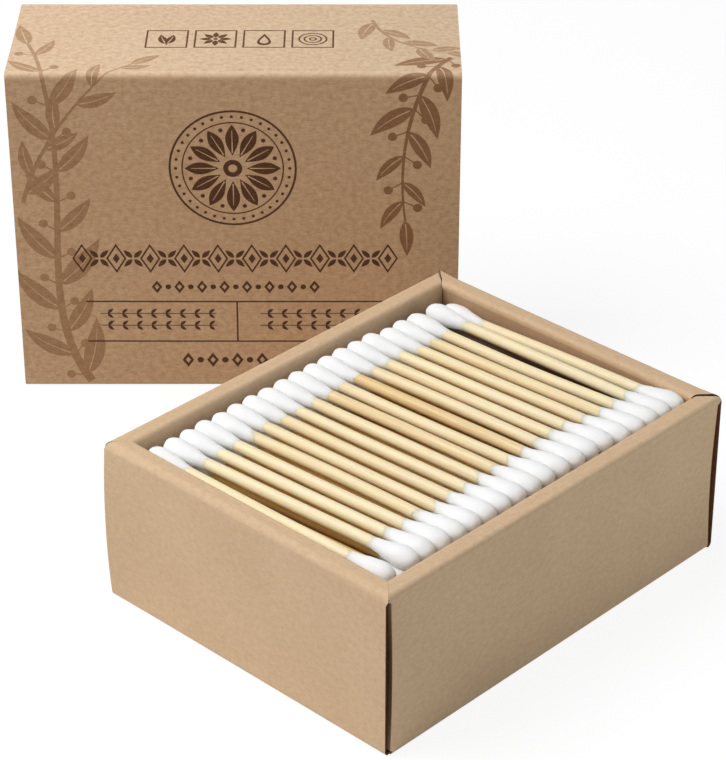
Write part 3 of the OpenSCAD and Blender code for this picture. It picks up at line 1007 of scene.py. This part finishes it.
def headProfile(rings, plump):
    # From the round end to the neck, as radius and distance from the end, by the same rule as the solid
    crown, length = swab["crown"], swab["headLength"]
    # The cotton ends inside the stick, so that it thins out to nothing on its surface.
    neck = swab["stick"] / 2 + swab["neckWall"]
    wide = swab["head"] / 2 * plump
    crownRings = max(2, rings * 2 // 5)
    profile = [(0.12 * wide, 0.0)]
    for a in np.linspace(0, math.pi / 2, crownRings + 1)[1:]:
        profile.append((wide * math.sin(a) ** 0.64, crown * (1 - math.cos(a))))
    for t in np.linspace(0, 1, rings - crownRings + 1)[1:]:
        share = 0.55 * (1 + math.cos(math.pi * t ** 0.9)) / 2 + 0.45 * (1 - t)
        profile.append((neck + (wide - neck) * share, crown + (length - crown) * t))
    return np.array(profile) * mm


def stickProfile(rings):
    half = swab["length"] / 2 - swab["tipCover"]
    return [(swab["stick"] / 2 * mm, y * mm) for y in np.linspace(-half, half, rings + 1)]


def makeSwabs(label, places, look):
    points = swabPoints(label + "Points", places, look)
    stick = lathe(label + "StickShape", stickProfile(look["stickRings"]), look["stickSides"])
    head = lathe(label + "HeadShape", headProfile(look["headRings"], look["plump"]), look["headSides"])
    sticks = laySwabs(label + "Sticks", points, stick, {
        "Material": bamboo, "Seed": look["seed"], "Girth Scatter": 0.015, "Length Scatter": 0.0, "Swab Length": 1.0,
        "Lump Height": look["stickLump"], "Lump Scale": 60.0, "Lump Fade": 0.0, "Offset Along": 0.0, "Flip": 0.0})
    ends = [laySwabs(label + "Ends", points, head, {
        "Material": cotton, "Seed": look["seed"] + int(flip * 10), "Girth Scatter": look["girthScatter"],
        "Length Scatter": 0.008, "Swab Length": 0.0, "Lump Height": look["headLump"], "Lump Scale": 330.0,
        "Lump Fade": 1.0, "Offset Along": -swab["length"] / 2 * mm, "Flip": flip}) for flip in (0.0, math.pi)]
    stickPiece = joined(label + "Sticks", [sticks], bamboo)
    headPiece = joined(label + "Heads", ends, cotton)
    for helper in (points, stick, head):
        bpy.data.objects.remove(helper)
    for piece, slot, nodes in ((stickPiece, "bamboo", look["stickNodes"]), (headPiece, "cotton", look["headNodes"])):
        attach(piece, "root")
        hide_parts(*nodes)
        print(piece.name, "laid:", len(piece.data.polygons), "faces")


def nodeNames(kind, pattern, count):
    return {kind + "Nodes": [pattern % k for k in range(1, count + 1)]}


deepest = swab["layers"] - 2
topSwabs = dict(
    seed=11, bend=0.00018, toneFrom=0.08, toneAndShadeAt={11: 0.65}, bendAt={17: -0.0006}, stickRings=24, stickSides=14,
    headRings=22, headSides=24, plump=1.12, stickLump=0.00010, headLump=0.00050, girthScatter=0.015,
    **nodeNames("stick", "top_stick_%02d", swab["perLayer"]), **nodeNames("head", "top_heads_%02d", swab["perLayer"]))
# Below the top layer the sticks are painted warm, as painted bounce light, and only the places under the gap get
# painted shade.
secondSwabs = dict(
    topSwabs, seed=23, bend=0.00015, toneFrom=1.3, toneAndShadeAt={17: 3.0, 18: 3.0}, bendAt={}, stickRings=10,
    stickSides=10, headRings=14, headSides=16, plump=1.0, headLump=0.00026,
    stickNodes=["sticks_layer_9"], headNodes=["heads_layer_9"])
deepSwabs = dict(
    secondSwabs, seed=37, bend=0.0, stickRings=1, stickSides=8, headRings=5, headSides=8,
    toneAndShadeAt={swab["perLayer"] * layer + k: 3.0 for layer in (6, 7) for k in (17, 18, 19)}, headLump=0.0,
    stickLump=0.0)
deepSwabs.update(**nodeNames("stick", "sticks_layer_%d", deepest), **nodeNames("head", "heads_layer_%d", deepest))
makeSwabs("top", topPlaces(), topSwabs)
makeSwabs("second", lowerPlaces([swab["layers"] - 1]), secondSwabs)
makeSwabs("deep", lowerPlaces(range(1, deepest + 1)), deepSwabs)


# Floor, light and camera

stage = dict(floor=3.0, sink=0.00005, bounce=0.82, shadowDepth=0.15, world=0.165, aim=0.03, lamps=(
    dict(name="keyLight", strength=0.97, source=(-0.58, -0.06, 0.81), distance=0.75, size=0.55, tint=(1, 1, 1)),
    dict(name="frontLight", strength=0.10, source=(0.1, -0.8, 0.6), distance=0.9, size=0.6, tint=(0.97, 1, 1)),
    dict(name="fillLight", strength=0.14, source=(0.93, -0.28, 0.25), distance=0.32, size=0.18,
         tint=(0.88, 1, 1))))


def makeFloor():
    size, depth = stage["floor"], stage["shadowDepth"]
    mesh = bpy.data.meshes.new("floor")
    # It lies a hair below the boxes, so that no two faces share one plane.
    mesh.from_pydata([(x * size, y * size, -stage["sink"]) for x, y in ((-1, -1), (1, -1), (1, 1), (-1, 1))], [],
                     [(0, 1, 2, 3)])
    floor = show("floor", mesh)
    material = bpy.data.materials.new("paleFloor")
    material.use_nodes = True
    tree = material.node_tree
    tree.nodes.clear()
    # Seen directly it is nearly white all over and keeps a soft shadow.
    matt, soft = (putNode(tree, "ShaderNodeBsdfDiffuse", {"Color": (value,) * 3 + (1,)}).outputs[0]
                  for value in (stage["bounce"], depth))
    glow = putNode(tree, "ShaderNodeEmission", {"Strength": 1.02 - depth * 0.9}).outputs[0]
    lit = putNode(tree, "ShaderNodeAddShader", {0: soft, 1: glow}).outputs[0]
    both = putNode(tree, "ShaderNodeMixShader", {0: seenDirectly(tree), 1: matt, 2: lit}).outputs[0]
    tree.links.new(both, putNode(tree, "ShaderNodeOutputMaterial").inputs[0])
    mesh.materials.append(material)


def makeLight():
    world = bpy.data.worlds.new("studio")
    scene.world = world
    world.use_nodes = True
    tree = world.node_tree
    tree.nodes.clear()
    strength = spread(tree, seenDirectly(tree), 0.0, 1.0, stage["world"], 1.0)
    air = putNode(tree, "ShaderNodeBackground", {"Color": (1, 1, 1, 1), "Strength": strength}).outputs[0]
    tree.links.new(air, putNode(tree, "ShaderNodeOutputWorld").inputs[0])
    for values in stage["lamps"]:
        direction = Vector(values["source"]).normalized()
        lamp = bpy.data.lights.new(values["name"], "AREA")
        lamp.shape = "DISK"
        lamp.size = values["size"]
        lamp.color = values["tint"]
        lamp.energy = values["strength"] * math.pi ** 2 * values["distance"] ** 2
        holder = show(values["name"], lamp)
        holder.location = direction * values["distance"] + Vector((0, 0, stage["aim"]))
        holder.rotation_euler = direction.to_track_quat("Z", "Y").to_euler()
        holder.visible_camera = False


def makeCamera():
    # The photograph's view, found by fitting the boxes' corners
    camera = bpy.data.cameras.new("camera")
    camera.lens = 135.36
    camera.clip_end = 20
    holder = show("camera", camera)
    holder.location = (0.002589, -0.567986, 0.373707)
    holder.rotation_euler = (math.radians(90 - 30.877), 0, 0)
    scene.camera = holder


makeFloor()
makeLight()
makeCamera()
scene.view_settings.view_transform = "Standard"
print("stage, light and camera set")
